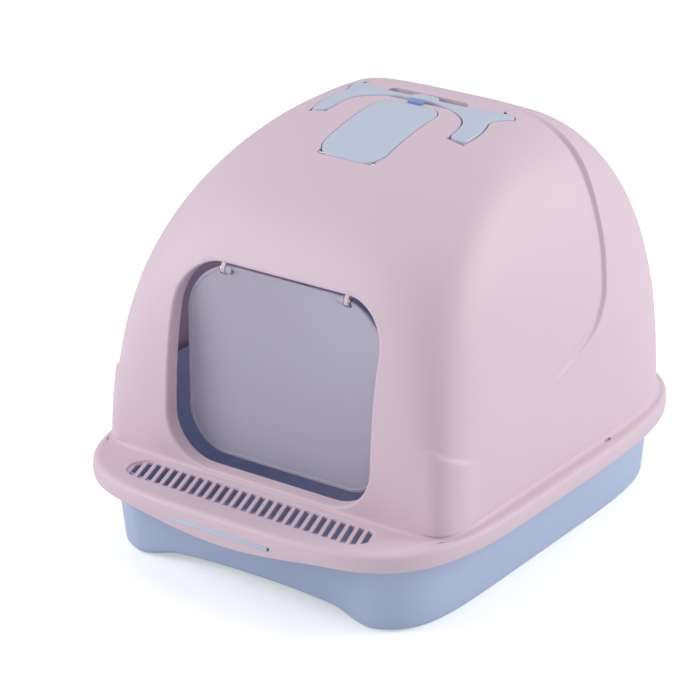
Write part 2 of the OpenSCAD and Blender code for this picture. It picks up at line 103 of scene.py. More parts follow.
soft_box("left_box", -48, 26, 2.4, 1.3, 1.5, 24, (1.0, 0.98, 0.98))
soft_box("right_box", 126, 24, 2.4, 1.3, 1.5, 27, (1.0, 1.0, 0.99))
soft_box("top_box", 20, 84, 2.2, 1.6, 1.6, 5, (1.0, 1.0, 1.0))

# A little of the daylight comes in through the thin walls.
inner = bpy.data.lights.new("light_through_walls", "POINT")
inner.energy = 0.17
inner.color = (0.85, 0.80, 1.0)
inner.shadow_soft_size = 0.10
inner_light = bpy.data.objects.new("light_through_walls", inner)
inner_light.location = (0, 0.02, 0.2)
scene.collection.objects.link(inner_light)

floor_reach = 9.0
floor_mesh = bpy.data.meshes.new("floor")
floor_mesh.from_pydata([(-floor_reach, -floor_reach, 0), (floor_reach, -floor_reach, 0),
                        (floor_reach, floor_reach, 0), (-floor_reach, floor_reach, 0)], [], [(0, 1, 2, 3)])
floor = bpy.data.objects.new("floor", floor_mesh)
scene.collection.objects.link(floor)
paper = bpy.data.materials.new("white_paper")
paper.use_nodes = True
paper_surface = paper.node_tree.nodes["Principled BSDF"]
paper_surface.inputs["Base Color"].default_value = (0.88, 0.88, 0.90, 1.0)
paper_surface.inputs["Roughness"].default_value = 0.9
paper_surface.inputs["Emission Color"].default_value = (1.0, 1.0, 1.0, 1.0)
brightness = paper.node_tree.nodes.new("ShaderNodeMath")
brightness.operation = "MULTIPLY"
brightness.inputs[1].default_value = 0.42
in_view = paper.node_tree.nodes.new("ShaderNodeLightPath")
paper.node_tree.links.new(in_view.outputs["Is Camera Ray"], brightness.inputs[0])
paper.node_tree.links.new(brightness.outputs["Value"], paper_surface.inputs["Emission Strength"])
floor_mesh.materials.append(paper)

# ---- Tray -------------------------------------------------------------------------
# The deep pan that holds the litter, injection moulded in pale blue polypropylene.
# Its front is hollowed between two feet, and a flange carries the hood; above the
# flange the wall rises inside the hood.
MM = 0.001


def power_outline(half_w, front, back, widest, front_power, back_power, angles):
    """Rounded rectangle in plan, as a power curve with a power of its own at each end."""
    c, s = np.cos(angles), np.sin(angles)
    n = np.where(s < 0, front_power, back_power)
    reach = np.where(s < 0, widest - front, back - widest)
    r = (np.abs(c) ** n + np.abs(s) ** n) ** (-1 / n)
    return np.stack([half_w * c * r, widest + reach * s * r], axis=1)


def raised(points, z):
    """Plan points lifted to a height, or to one height each."""
    return np.column_stack([points, np.broadcast_to(z, len(points))])


def shell_piece(name, rings, capped=True):
    """A mesh skinned through rings of points, closed by caps or back onto its first ring."""
    count, rows = len(rings[0]), len(rings)
    faces = []
    for i in range(rows - (1 if capped else 0)):
        a, b = i * count, (i + 1) % rows * count
        faces += [(a + j, a + (j + 1) % count, b + (j + 1) % count, b + j) for j in range(count)]
    if capped:
        faces.append(tuple(range(count - 1, -1, -1)))
        faces.append(tuple((rows - 1) * count + j for j in range(count)))
    mesh = bpy.data.meshes.new(name)
    mesh.from_pydata((np.concatenate(rings) * MM).tolist(), [], faces)
    mesh.update()
    piece = bpy.data.objects.new(name, mesh)
    scene.collection.objects.link(piece)
    return piece


def settle(piece):
    """Turns a piece's modifiers into plain mesh."""
    piece.data = bpy.data.meshes.new_from_object(piece.evaluated_get(bpy.context.evaluated_depsgraph_get()))
    piece.modifiers.clear()


def carve(piece, tool, how="DIFFERENCE"):
    """Cuts a tool out of a piece, or joins it on with UNION, and drops the tool."""
    cut = piece.modifiers.new("cut", "BOOLEAN")
    cut.object = tool
    cut.operation = how
    cut.solver = "MANIFOLD"
    settle(piece)
    bpy.data.objects.remove(tool)


def smooth(piece, angle=32):
    """Shades a piece smooth, apart from edges sharper than the angle."""
    piece.data.shade_smooth()
    piece.data.set_sharp_from_angle(angle=math.radians(angle))


def dress(piece, material):
    """Gives a piece one material."""
    piece.data.materials.clear()
    piece.data.materials.append(material)


tray_low, tray_high = (np.array(corner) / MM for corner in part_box("tray"))
hood_low, hood_high = (np.array(corner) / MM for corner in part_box("hood"))
cover_w = hood_high[0] - hood_low[0]
cover_d = hood_high[1] - hood_low[1]
ledge_z = 88.0
rim_top = ledge_z - 3.1
rim_plate = 3.0
skirt_wall = 4.0
tray_wall = 3.0
tray_draft = 5.0
tray_half_w = cover_w / 2 - 25
tray_front = -cover_d / 2 + 31
tray_back = cover_d / 2 - 18
wall_low = ledge_z - 4.5
dome_front = -cover_d / 2 + 68
dome_back = cover_d / 2 - 16
tray_angles = np.linspace(-math.pi, math.pi, 257)[:-1]
tray_angles = tray_angles + 0.42 * np.sin(4 * tray_angles) / 4


def tray_ring(inset):
    return power_outline(tray_half_w - inset, tray_front + 1.6 * inset, tray_back - inset, 1, 6.4, 5.1,
                         tray_angles)


def wall_ring(inset):
    return power_outline(tray_half_w - 2 - inset, tray_front + inset, dome_back - 11 - inset, 1, 6.4, 4.2,
                         tray_angles)


def wall_top(points):
    s = np.clip((points[:, 1] - dome_front - 32) / 60, 0, 1)
    return wall_low + (tray_high[2] - wall_low) * s * s * (3 - 2 * s)


def skirt_outline(inset, angles):
    return power_outline(cover_w / 2 - inset, -cover_d / 2 + inset, cover_d / 2 - inset, -27, 4, 4, angles)


tray_rings = [raised(tray_ring(tray_draft + inset), 0.0) for inset in (130, 110, *range(96, 6, -6))]
for turn in np.radians([0, 15, 30, 45, 60, 75, 90]):
    tray_rings.append(raised(tray_ring(tray_draft + 6 - 6 * math.sin(turn)), 6 - 6 * math.cos(turn)))
for z in np.linspace(12, rim_top - rim_plate, 12):
    tray_rings.append(raised(tray_ring(tray_draft * (1 - (z - 6) / (rim_top - rim_plate - 6))), z))
tray_rings.append(raised(wall_ring(0), rim_top - 1.8))
for turn in np.radians([0, 30, 60, 90, 120, 150, 180]):
    ring = wall_ring(tray_wall / 2 - tray_wall / 2 * math.cos(turn))
    tray_rings.append(raised(ring, wall_top(ring) - 1.5 + 1.5 * math.sin(turn)))
tray_rings.append(raised(wall_ring(tray_wall), rim_top - 4))
for z in np.linspace(rim_top - 6, 12, 10):
    inset = tray_wall + tray_draft * (1 - (z - 6) / (rim_top - rim_plate - 6))
    tray_rings.append(raised(tray_ring(inset), z))
for turn in np.radians([15, 30, 45, 60, 75, 90]):
    ring = tray_ring(tray_draft + tray_wall + 9 - 9 * math.cos(turn))
    tray_rings.append(raised(ring, 12 - 9 * math.sin(turn)))
tray_rings += [raised(tray_ring(tray_draft + inset), 3.0) for inset in (*range(18, 100, 6), 110, 130)]

# Between the feet the front is drawn in, and the floor behind it lifts in an arch.
arch_half = 124.0
arch_shoulder = 42.0
arch_h = 7.0
arch_slope = 95.0
hollow_depth = 15.0
foot_y = tray_front + 1.6 * tray_draft
for ring in tray_rings:
    x, y, z = ring.T
    ramp = np.clip((arch_half - np.abs(x)) / arch_shoulder, 0, 1)
    behind = np.clip((foot_y + arch_slope - y) / arch_slope, 0, 1)
    lift = (arch_h + 1) * (1 - np.cos(math.pi * ramp)) / 2 * behind
    low_share = np.clip(1 - z / 62, 0, 1)
    drawn = hollow_depth * np.clip(1 - np.abs(x / arch_half) ** 2.4, 0, 1)
    fade = np.clip((-y - 120) / 60, 0, 1) * np.clip((rim_top - 4 - z) / 4, 0, 1)
    ring[:, 2] = z + lift * low_share
    ring[:, 1] = y + drawn * fade
tray = shell_piece("tray_shell", tray_rings)

flange_rings = []
for points, z in ((skirt_outline(skirt_wall + 3.5, tray_angles), rim_top - rim_plate),
                  (skirt_outline(skirt_wall + 2.5, tray_angles), rim_top - rim_plate + 1),
                  (skirt_outline(skirt_wall + 2.5, tray_angles), rim_top - 1),
                  (skirt_outline(skirt_wall + 3.5, tray_angles), rim_top),
                  (wall_ring(tray_wall / 2), rim_top), (wall_ring(tray_wall / 2), rim_top - rim_plate)):
    flange_rings.append(raised(points, z))
flange = shell_piece("flange", flange_rings, capped=False)


def round_slot(length, width, centre_y, steps=16):
    """Plan outline of a straight slot along X with round ends."""
    turns = np.linspace(-math.pi / 2, math.pi / 2, steps)
    right = np.stack([(length - width) / 2 + width / 2 * np.cos(turns), width / 2 * np.sin(turns)], axis=1)
    return np.concatenate([right, -right]) + np.array([0, centre_y])


def prism(name, points, low, high):
    """Straight bar along Z over a plan outline."""
    return shell_piece(name, [raised(points, low), raised(points, high)])


drain_l, drain_w, drain_y = 258.0, 36.0, -cover_d / 2 + 43
carve(flange, prism("drain_room", round_slot(drain_l + 3, drain_w + 3, drain_y), ledge_z - 4.5, 100))
carve(tray, flange, "UNION")
snap_x = cover_w / 2 - 14 + 2.4
for side in (-1, 1):
    tab_x = side * snap_x
    corners = np.array([(tab_x - 1.2, 66), (tab_x + 1.2, 66), (tab_x + 1.2, 76), (tab_x - 1.2, 76)])
    carve(tray, prism("snap_tab", corners, rim_top - 1, rim_top + 1.2), "UNION")
smooth(tray, 40)


def moulded_skin_group():
    """Fine spark-eroded grain and slow drift of tone that every moulding has."""
    group = bpy.data.node_groups.new("moulded_skin", "ShaderNodeTree")
    for name, kind, value in (("Colour", "NodeSocketColor", (0.8, 0.8, 0.8, 1)),
                              ("Grain per metre", "NodeSocketFloat", 1600.0),
                              ("Tone drift", "NodeSocketFloat", 0.03),
                              ("Roughness", "NodeSocketFloat", 0.45),
                              ("Roughness drift", "NodeSocketFloat", 0.06)):
        group.interface.new_socket(name, in_out="INPUT", socket_type=kind).default_value = value
    group.interface.new_socket("Colour", in_out="OUTPUT", socket_type="NodeSocketColor")
    group.interface.new_socket("Roughness", in_out="OUTPUT", socket_type="NodeSocketFloat")
    group.interface.new_socket("Grain", in_out="OUTPUT", socket_type="NodeSocketFloat")
    nodes, links = group.nodes, group.links
    given, out = nodes.new("NodeGroupInput"), nodes.new("NodeGroupOutput")
    place = nodes.new("ShaderNodeTexCoord")
    grain = nodes.new("ShaderNodeTexNoise")
    grain.inputs["Detail"].default_value = 3.0
    drift = nodes.new("ShaderNodeTexNoise")
    drift.inputs["Scale"].default_value = 9.0
    drift.inputs["Detail"].default_value = 2.0
    links.new(place.outputs["Object"], grain.inputs["Vector"])
    links.new(place.outputs["Object"], drift.inputs["Vector"])
    links.new(given.outputs["Grain per metre"], grain.inputs["Scale"])
    centred = nodes.new("ShaderNodeMath")
    centred.operation = "SUBTRACT"
    centred.inputs[1].default_value = 0.5
    links.new(drift.outputs["Fac"], centred.inputs[0])
    tone = nodes.new("ShaderNodeMath")
    tone.operation = "MULTIPLY_ADD"
    tone.inputs[2].default_value = 1.0
    links.new(centred.outputs["Value"], tone.inputs[0])
    links.new(given.outputs["Tone drift"], tone.inputs[1])
    shade = nodes.new("ShaderNodeVectorMath")
    shade.operation = "SCALE"
    links.new(given.outputs["Colour"], shade.inputs["Vector"])
    links.new(tone.outputs["Value"], shade.inputs["Scale"])
    rough = nodes.new("ShaderNodeMath")
    rough.operation = "MULTIPLY_ADD"
    links.new(centred.outputs["Value"], rough.inputs[0])
    links.new(given.outputs["Roughness drift"], rough.inputs[1])
    links.new(given.outputs["Roughness"], rough.inputs[2])
    links.new(shade.outputs["Vector"], out.inputs["Colour"])
    links.new(rough.outputs["Value"], out.inputs["Roughness"])
    links.new(grain.outputs["Fac"], out.inputs["Grain"])
    return group


moulded_skin = moulded_skin_group()


def plastic(name, srgb, roughness=0.45, grain=1600.0, grain_height=0.00002, specular=0.45):
    """Moulded plastic of one colour, given as 8-bit sRGB."""
    material = bpy.data.materials.new(name)
    material.use_nodes = True
    nodes, links = material.node_tree.nodes, material.node_tree.links
    surface = nodes["Principled BSDF"]
    skin = nodes.new("ShaderNodeGroup")
    skin.node_tree = moulded_skin
    skin.inputs["Colour"].default_value = (*[(v / 255 / 12.92 if v < 10.3 else
                                              ((v / 255 + 0.055) / 1.055) ** 2.4) for v in srgb], 1.0)
    skin.inputs["Roughness"].default_value = roughness
    skin.inputs["Grain per metre"].default_value = grain
    bump = nodes.new("ShaderNodeBump")
    bump.inputs["Distance"].default_value = grain_height
    links.new(skin.outputs["Grain"], bump.inputs["Height"])
    links.new(skin.outputs["Colour"], surface.inputs["Base Color"])
    links.new(skin.outputs["Roughness"], surface.inputs["Roughness"])
    links.new(bump.outputs["Normal"], surface.inputs["Normal"])
    surface.inputs["Specular IOR Level"].default_value = specular
    return material


tray_blue = plastic("tray_blue", (185, 200, 226), roughness=0.42)
dress(tray, tray_blue)
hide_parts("tray")
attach(tray, "tray_body")

# ---- Hood -------------------------------------------------------------------------
# The domed cover, moulded in pale pink with the ledge, the skirt and the drained step
# in one piece. A styled edge runs down each side, and the lower band stands proud of
# the upper one at the front corners.
dome_half_w = cover_w / 2 - 14
dome_h = 291.0
crest_y = 70.0
dome_widest = 12.0
cover_wall = 3.0
half_angles = np.radians(np.linspace(-90, 90, 6001))


def front_reach(share):
    return (1 - share ** 3.1) ** (1 / 2.6)


def side_reach(share):
    return (1 - share ** 2.1) ** (1 / 4.2)


def back_reach(share):
    return (1 - share ** 2.8) ** (1 / 1.65)


def dome_outline(share, inset, angles=half_angles):
    """Right half of the dome's plan outline at a share of its height, from front to back."""
    return power_outline((dome_half_w - inset) * side_reach(share),
                         crest_y - (crest_y - dome_front - inset) * front_reach(share),
                         crest_y + (dome_back - inset - crest_y) * back_reach(share),
                         crest_y + (dome_widest - crest_y) * side_reach(share),
                         13.4 - 11.4 * share, 4.5 - 0.5 * share ** 0.3, angles)


def smooth_curve(at, knots, values):
    """Cubic curve through a few points, held level beyond them."""
    slopes = np.gradient(values, knots)
    at = np.clip(at, knots[0], knots[-1])
    i = np.clip(np.searchsorted(knots, at) - 1, 0, len(knots) - 2)
    h = knots[i + 1] - knots[i]
    t = (at - knots[i]) / h
    return ((2 * t ** 3 - 3 * t ** 2 + 1) * values[i] + (t ** 3 - 2 * t ** 2 + t) * h * slopes[i]
            + (3 * t ** 2 - 2 * t ** 3) * values[i + 1] + (t ** 3 - t ** 2) * h * slopes[i + 1])


# The styled edge on the right side: how far back it stands at each height.
edge_z = np.array([168.0, 180, 195, 215, 250, 300, 345, 374])
edge_y = np.array([-40.0, 0, 45, 68, 81, 88, 93, 90])
columns = (32, 46, 36, 24, 30, 26, 14)


def full_ring(half, height, line_z=None):
    """Closed ring from a dense right half: columns crowd into the corners and the styled edge."""
    steps = np.hypot(*np.diff(half, axis=0).T)
    along = np.concatenate([[0], np.cumsum(steps)])
    turn = np.degrees(half_angles)
    spread = 11 + 9 * np.clip((height - ledge_z) / dome_h, 0, 1)
    z = height if line_z is None else line_z
    line = smooth_curve(z, edge_z, edge_y)
    slope = (smooth_curve(z + 1, edge_z, edge_y) - smooth_curve(z - 1, edge_z, edge_y)) / 2
    rear = half[:, 1] > -150
    line_at = np.interp(line, half[rear, 1], along[rear])
    stretch = math.hypot(1, slope)
    back_start = np.interp(45 - spread * 1.3, turn, along)
    back_end = np.interp(45 + spread * 1.3, turn, along)
    front_end = np.interp(-45 + spread, turn, along)
    end = along[-1]
    high = min(max(line_at + 5 * stretch, front_end + 6), end - 3)
    low = min(max(line_at - 10 * stretch, front_end + 3), high - 2)
    knots = [0, np.interp(-45 - spread, turn, along), front_end, low, high,
             min(max(back_start, high + 1), end - 2), min(max(back_end, high + 2), end - 1), end]
    places = np.concatenate([np.linspace(a, b, n, endpoint=False)
                             for a, b, n in zip(knots, knots[1:], columns)] + [[along[-1]]])
    right = np.stack([np.interp(places, along, half[:, 0]), np.interp(places, along, half[:, 1])], axis=1)
    right[0, 0] = right[-1, 0] = 0
    left = right[-2:0:-1] * np.array([-1, 1])
    return np.concatenate([right, left])


def dome_ring(share, inset, z):
    return raised(full_ring(dome_outline(share, inset), z), z)


def skirt_ring(inset, z):
    return raised(full_ring(skirt_outline(inset, half_angles), ledge_z, edge_z[0]), z)


dip_half_w = 110.0
skirt_dip = 9.0
skirt_bottom = ledge_z - 17


def dipped(inset, rise):
    """Bottom lip of the skirt, which hangs lower in the middle of the front."""
    ring = skirt_ring(inset, skirt_bottom + rise)
    middle = (ring[:, 1] < 0) & (np.abs(ring[:, 0]) < dip_half_w)
    ring[middle, 2] -= skirt_dip * (1 - (ring[middle, 0] / dip_half_w) ** 2) ** 2
    return ring


# Inside, from the crown down to the lip of the skirt.
hood_rings = []
for share in np.sin(np.radians(np.linspace(88, 0, 40))):
    hood_rings.append(dome_ring(share, cover_wall, ledge_z - cover_wall + dome_h * share))
hood_rings += [skirt_ring(skirt_wall, ledge_z - cover_wall), dipped(skirt_wall, 1.2), dipped(3.6, 0.4),
               dipped(2.9, 0), dipped(1.6, 0), dipped(0.9, 0.4), dipped(0.6, 1.2)]
# Outside of the skirt, its rounded shoulder, the ledge and the fillet at the dome's foot.
hood_rings += [skirt_ring(0.3, ledge_z - 13.5), skirt_ring(0, ledge_z - 11), skirt_ring(0.2, ledge_z - 7)]
for turn in np.radians(np.arange(0, 91, 11.25)):
    hood_rings.append(skirt_ring(0.4 + 6.1 * (1 - math.cos(turn)), ledge_z - 5 + 5 * math.sin(turn)))
shoulder, foot = hood_rings[-1], dome_ring(0, -4, ledge_z)
for part in (0.25, 0.5, 0.75):
    hood_rings.append(shoulder * (1 - part) + foot * part)
for turn in np.radians([0, 22.5, 45, 67.5]):
    hood_rings.append(dome_ring(0, -4 + 4 * math.sin(turn), ledge_z + 4 - 4 * math.cos(turn)))
# The dome: close rows where the lower band ends, then rows set by the side's reach.
band_low, band_high = 138.0, 174.0
side_rows = np.arange(0.9, 0.02, -0.02)
dome_heights = np.concatenate([
    np.arange(ledge_z + 4, band_low, 3.2), np.arange(band_low, band_high, 1.2),
    np.arange(band_high, 262, 3.0), ledge_z + dome_h * (1 - side_rows ** 4.2) ** (1 / 2.1)])
dome = np.array([dome_ring((z - ledge_z) / dome_h, 0, z) for z in dome_heights])


def ease(value):
    """Smooth rise from 0 to 1."""
    value = np.clip(value, 0, 1)
    return value * value * (3 - 2 * value)


# How far each point of the dome stands proud of the plain surface.
x, y, z = np.moveaxis(dome, 2, 0)
edge_at = smooth_curve(z, edge_z, edge_y)
edge_slope = (smooth_curve(z + 1, edge_z, edge_y) - smooth_curve(z - 1, edge_z, edge_y)) / 2
past_edge = (y - edge_at) / np.hypot(1, edge_slope)
edge_fade = ease((z - 164) / 34) * (1 - 0.5 * ease((z - 350) / 24)) * ease((np.abs(x) - 50) / 40) * (y > -60)
groove_h = 1.5 + 0.9 * ease((z - 280) / 60)
groove = -groove_h * ease((past_edge + 9) / 9) * (past_edge <= 0)
rise = (-groove_h + (groove_h + 2.0) * ease(past_edge / 3.2)) * (past_edge > 0)
proud = edge_fade * np.where(past_edge > 3.2, 2.0 * (1 - ease((past_edge - 3.2) / 75)), groove + rise)
ridge_y = [-190, -180, -176, -172, -166, -160, -152]
ridge_z = np.interp(y, ridge_y, [167, 166, 160.7, 157.7, 155.6, 152.8, 149.3])
corner = ease((np.abs(x) - 152) / 22) * ease((-132 - y) / 30) * (y < -120)
proud = proud + 2.4 * corner * ease((ridge_z - z) / 4.4 + 0.5)
across = np.roll(dome, -1, axis=1) - np.roll(dome, 1, axis=1)
normal = np.cross(across, np.gradient(dome, axis=0))
normal /= np.linalg.norm(normal, axis=2, keepdims=True)
dome = dome + normal * proud[..., None]
hood = shell_piece("hood_shell", hood_rings + list(dome))


def face_y(x, z):
    """Front face of the dome at a place beside and above the middle of the sill."""
    share = (z - ledge_z) / dome_h
    mid = crest_y + (dome_widest - crest_y) * side_reach(share)
    front = crest_y - (crest_y - dome_front) * front_reach(share)
    n = 13.4 - 11.4 * share
    beside = np.clip(np.abs(x) / (dome_half_w * side_reach(share)), 0, 1)
    return mid - (mid - front) * (1 - beside ** n) ** (1 / n)


def roof_z(x, y):
    """Height of the roof over a place, found by halving."""
    low, high = np.zeros_like(x, dtype=float), np.full_like(x, 0.99999, dtype=float)
    for _ in range(30):
        share = (low + high) / 2
        mid = crest_y + (dome_widest - crest_y) * side_reach(share)
        end = np.where(y < mid, crest_y - (crest_y - dome_front) * front_reach(share),
                       crest_y + (dome_back - crest_y) * back_reach(share))
        n = np.where(y < mid, 13.4 - 11.4 * share, 4.5 - 0.5 * share ** 0.3)
        inside = (np.abs(x) / (dome_half_w * side_reach(share))) ** n + np.abs((y - mid) / (end - mid)) ** n < 1
        low, high = np.where(inside, share, low), np.where(inside, high, share)
    return ledge_z + dome_h * low


def rounded_corners(half_w, low, high, r_low, r_high, steps=14):
    """Outline of an upright rectangle with one radius for its lower and one for its upper corners."""
    points = []
    for sx, z_side, r, start in ((1, low, r_low, -90), (1, high, r_high, 0),
                                 (-1, high, r_high, 90), (-1, low, r_low, 180)):
        for turn in np.radians(np.linspace(start, start + 90, steps)):
            centre_z = z_side + r if z_side == low else z_side - r
            points.append((sx * (half_w - r) + r * math.cos(turn), centre_z + r * math.sin(turn)))
    return np.array(points)


def subdivided(points, pitch):
    """The same closed outline with no stretch longer than the pitch."""
    out = []
    for a, b in zip(points, np.roll(points, -1, axis=0)):
        n = max(1, math.ceil(np.linalg.norm(b - a) / pitch))
        out += [a + (b - a) * i / n for i in range(n)]
    return np.array(out)


# The doorway and the return around it.
door_half_w, sill_z, door_top, door_r = 108.0, 92.0, 276.0, 43.0
frame_depth = 14.0


def even_loop(grow, depth=None, y=None):
    """Loop of the doorway, grown, at a depth behind the dome's face or at a fixed place."""
    corners = rounded_corners(door_half_w + grow, sill_z - grow, door_top + grow, door_r + grow, door_r + grow)
    sides = []
    for i, (a, b) in enumerate(zip(corners, np.roll(corners, -1, axis=0))):
        n = 30 if i % 14 == 13 else 2
        sides += [a + (b - a) * k / n for k in range(n)]
    outline_x, outline_z = np.array(sides)[::-1].T
    place = face_y(outline_x, outline_z) + depth if y is None else np.full(len(outline_x), y)
    return np.column_stack([outline_x, place, outline_z])


frame_loops = [even_loop(cover_wall, 0.8), even_loop(cover_wall, frame_depth - 0.8),
               even_loop(cover_wall - 0.8, frame_depth), even_loop(-0.5, frame_depth), even_loop(-0.5, 0.8)]
carve(hood, shell_piece("door_return", frame_loops, capped=False), "UNION")
lip_r, lip_start = 3.0, math.radians(22)
door_loops = [even_loop(lip_r * (1 - math.sin(math.radians(6))), y=-300)]
for turn in np.radians([6, 22, 36, 50, 64, 77, 90]):
    door_loops.append(even_loop(lip_r * (1 - math.sin(turn)), lip_r * (math.cos(lip_start) - math.cos(turn))))
door_loops.append(even_loop(0, y=-110))
carve(hood, shell_piece("door_cutter", door_loops))
flap_low, flap_high = (np.array(corner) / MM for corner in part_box("door_flap"))
# Two brackets behind the hood's face carry the door's pins, each in a notch at a top corner of the flap.
ear_r = 4.0
door_axis_y, door_axis_z = flap_low[1] + ear_r, flap_high[2] - ear_r
bracket_x, bracket_w, bracket_r, bracket_top = 63.0, 4.0, 4.0, 288.0
for side in (-1, 1):
    turns = np.radians(np.linspace(150, 360, 24))
    eye = np.stack([door_axis_y + bracket_r * np.cos(turns), door_axis_z + bracket_r * np.sin(turns)], 1)
    root_y = face_y(0, bracket_top)
    side_view = np.concatenate([eye, [(root_y + 11, bracket_top + 2), (root_y + 2, bracket_top)]])
    ends = sorted((side * bracket_x, side * (bracket_x + bracket_w)))
    bracket = shell_piece("bracket", [np.column_stack([np.full(len(side_view), x), side_view]) for x in ends])
    carve(hood, bracket, "UNION")

# The drained step: a shallow recess with a row of leaning slots, cut by one repeated bar.
drain_depth, drain_floor, slot_rim = 2.0, 2.0, 1.5
slot_count, slot_w, slot_slant = 27, 5.4, 19.0
slot_pitch = (drain_l - 12) / (slot_count - 1)


def slot_row_tree():
    """Row of bars along X, all turned by one angle, which cuts a row of slots."""
    made = bpy.data.node_groups.new("slot_row", "GeometryNodeTree")
    made.interface.new_socket("Geometry", in_out="INPUT", socket_type="NodeSocketGeometry")
    for name, kind in (("Count", "NodeSocketInt"), ("Pitch", "NodeSocketFloat"), ("Size", "NodeSocketVector"),
                       ("Lean", "NodeSocketFloat"), ("Middle", "NodeSocketVector"),
                       ("Material", "NodeSocketMaterial")):
        made.interface.new_socket(name, in_out="INPUT", socket_type=kind)
    made.interface.new_socket("Geometry", in_out="OUTPUT", socket_type="NodeSocketGeometry")
    nodes, links = made.nodes, made.links
    given, out = nodes.new("NodeGroupInput"), nodes.new("NodeGroupOutput")
    bar = nodes.new("GeometryNodeMeshCube")
    links.new(given.outputs["Size"], bar.inputs["Size"])
    row = nodes.new("GeometryNodeMeshLine")
    links.new(given.outputs["Count"], row.inputs["Count"])
    step = nodes.new("ShaderNodeCombineXYZ")
    links.new(given.outputs["Pitch"], step.inputs["X"])
    links.new(step.outputs["Vector"], row.inputs["Offset"])
    turned = nodes.new("ShaderNodeCombineXYZ")
    links.new(given.outputs["Lean"], turned.inputs["Z"])
    copies = nodes.new("GeometryNodeInstanceOnPoints")
    links.new(row.outputs["Mesh"], copies.inputs["Points"])
    links.new(bar.outputs["Mesh"], copies.inputs["Instance"])
    links.new(turned.outputs["Vector"], copies.inputs["Rotation"])
    real = nodes.new("GeometryNodeRealizeInstances")
    links.new(copies.outputs["Instances"], real.inputs["Geometry"])
    gaps = nodes.new("ShaderNodeMath")
    gaps.operation = "SUBTRACT"
    gaps.inputs[0].default_value = 1.0
    links.new(given.outputs["Count"], gaps.inputs[1])
    half = nodes.new("ShaderNodeVectorMath")
    half.operation = "SCALE"
    links.new(step.outputs["Vector"], half.inputs["Vector"])
    links.new(gaps.outputs["Value"], half.inputs["Scale"])
    start = nodes.new("ShaderNodeVectorMath")
    start.operation = "MULTIPLY_ADD"
    start.inputs[1].default_value = (0.5, 0.5, 0.5)
    links.new(half.outputs["Vector"], start.inputs[0])
    links.new(given.outputs["Middle"], start.inputs[2])
    move = nodes.new("GeometryNodeTransform")
    links.new(real.outputs["Geometry"], move.inputs["Geometry"])
    links.new(start.outputs["Vector"], move.inputs["Translation"])
    finish = nodes.new("GeometryNodeSetMaterial")
    links.new(move.outputs["Geometry"], finish.inputs["Geometry"])
    links.new(given.outputs["Material"], finish.inputs["Material"])
    links.new(finish.outputs["Geometry"], out.inputs["Geometry"])
    return made


hood_pink = plastic("hood_pink", (224, 203, 213), roughness=0.46)
slot_row = slot_row_tree()


def slot_tool(name, material, **values):
    """Runs the slot row into a plain mesh, ready to cut with."""
    tool = bpy.data.objects.new(name, bpy.data.meshes.new(name))
    scene.collection.objects.link(tool)
    nodes_modifier = tool.modifiers.new("slots", "NODES")
    nodes_modifier.node_group = slot_row
    sockets = {item.name: item.identifier for item in slot_row.interface.items_tree if item.in_out == "INPUT"}
    nodes_modifier[sockets["Material"]] = material
    for key, value in values.items():
        nodes_modifier[sockets[key]] = value
    settle(tool)
    return tool


def drain_loop(grow, z):
    return raised(round_slot(drain_l + 2 * grow, drain_w + 2 * grow, drain_y, 24), z)


floor_low = ledge_z - drain_depth - drain_floor
carve(hood, shell_piece("drain_floor", [drain_loop(0.8, floor_low), drain_loop(0.8, floor_low + 3)]), "UNION")
edge = 1.1
recess_loops = [drain_loop(-0.8, ledge_z - drain_depth), drain_loop(-0.2, ledge_z - drain_depth + 0.2),
                drain_loop(0, ledge_z - drain_depth + 0.8)]
for turn in np.radians([90, 60, 35, 15]):
    recess_loops.append(drain_loop(edge * (1 - math.sin(turn)), ledge_z - edge * 0.97 + edge * math.cos(turn)))
recess_loops.append(drain_loop(edge, ledge_z + 3))
carve(hood, shell_piece("drain_recess", recess_loops))
slots = slot_tool("drain_slots", hood_pink, Count=slot_count, Pitch=slot_pitch * MM,
                  Size=(slot_w * MM, 2 * drain_w * MM, 30 * MM), Lean=math.radians(slot_slant),
                  Middle=(0.0, drain_y * MM, ledge_z * MM))
slot_ends = [drain_loop(-slot_rim, ledge_z - 12), drain_loop(-slot_rim, ledge_z + 12)]
carve(slots, shell_piece("slot_ends", slot_ends), "INTERSECT")
carve(hood, slots)

# The slot for the strip in the skirt, a little longer than the strip, and the snap slots.
strip_low, strip_high = (np.array(corner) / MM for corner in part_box("front_strip"))


def block(name, low, high):
    """Square-edged bar between two corners."""
    corners = np.array([(low[0], low[1]), (high[0], low[1]), (high[0], high[1]), (low[0], high[1])])
    return prism(name, corners, low[2], high[2])


carve(hood, block("strip_slot", (strip_low[0], strip_low[1] - 2, strip_low[2]),
                  (strip_high[0] + 2.4, strip_high[1], strip_high[2])))
for side in (-1, 1):
    slot_x = side * snap_x
    carve(hood, block("snap_slot", (slot_x - 1.4, 66, ledge_z - 20), (slot_x + 1.4, 76, ledge_z + 5)))

# Hollows in the roof: the seat of the lid, the bed of the handle and the finger pocket.


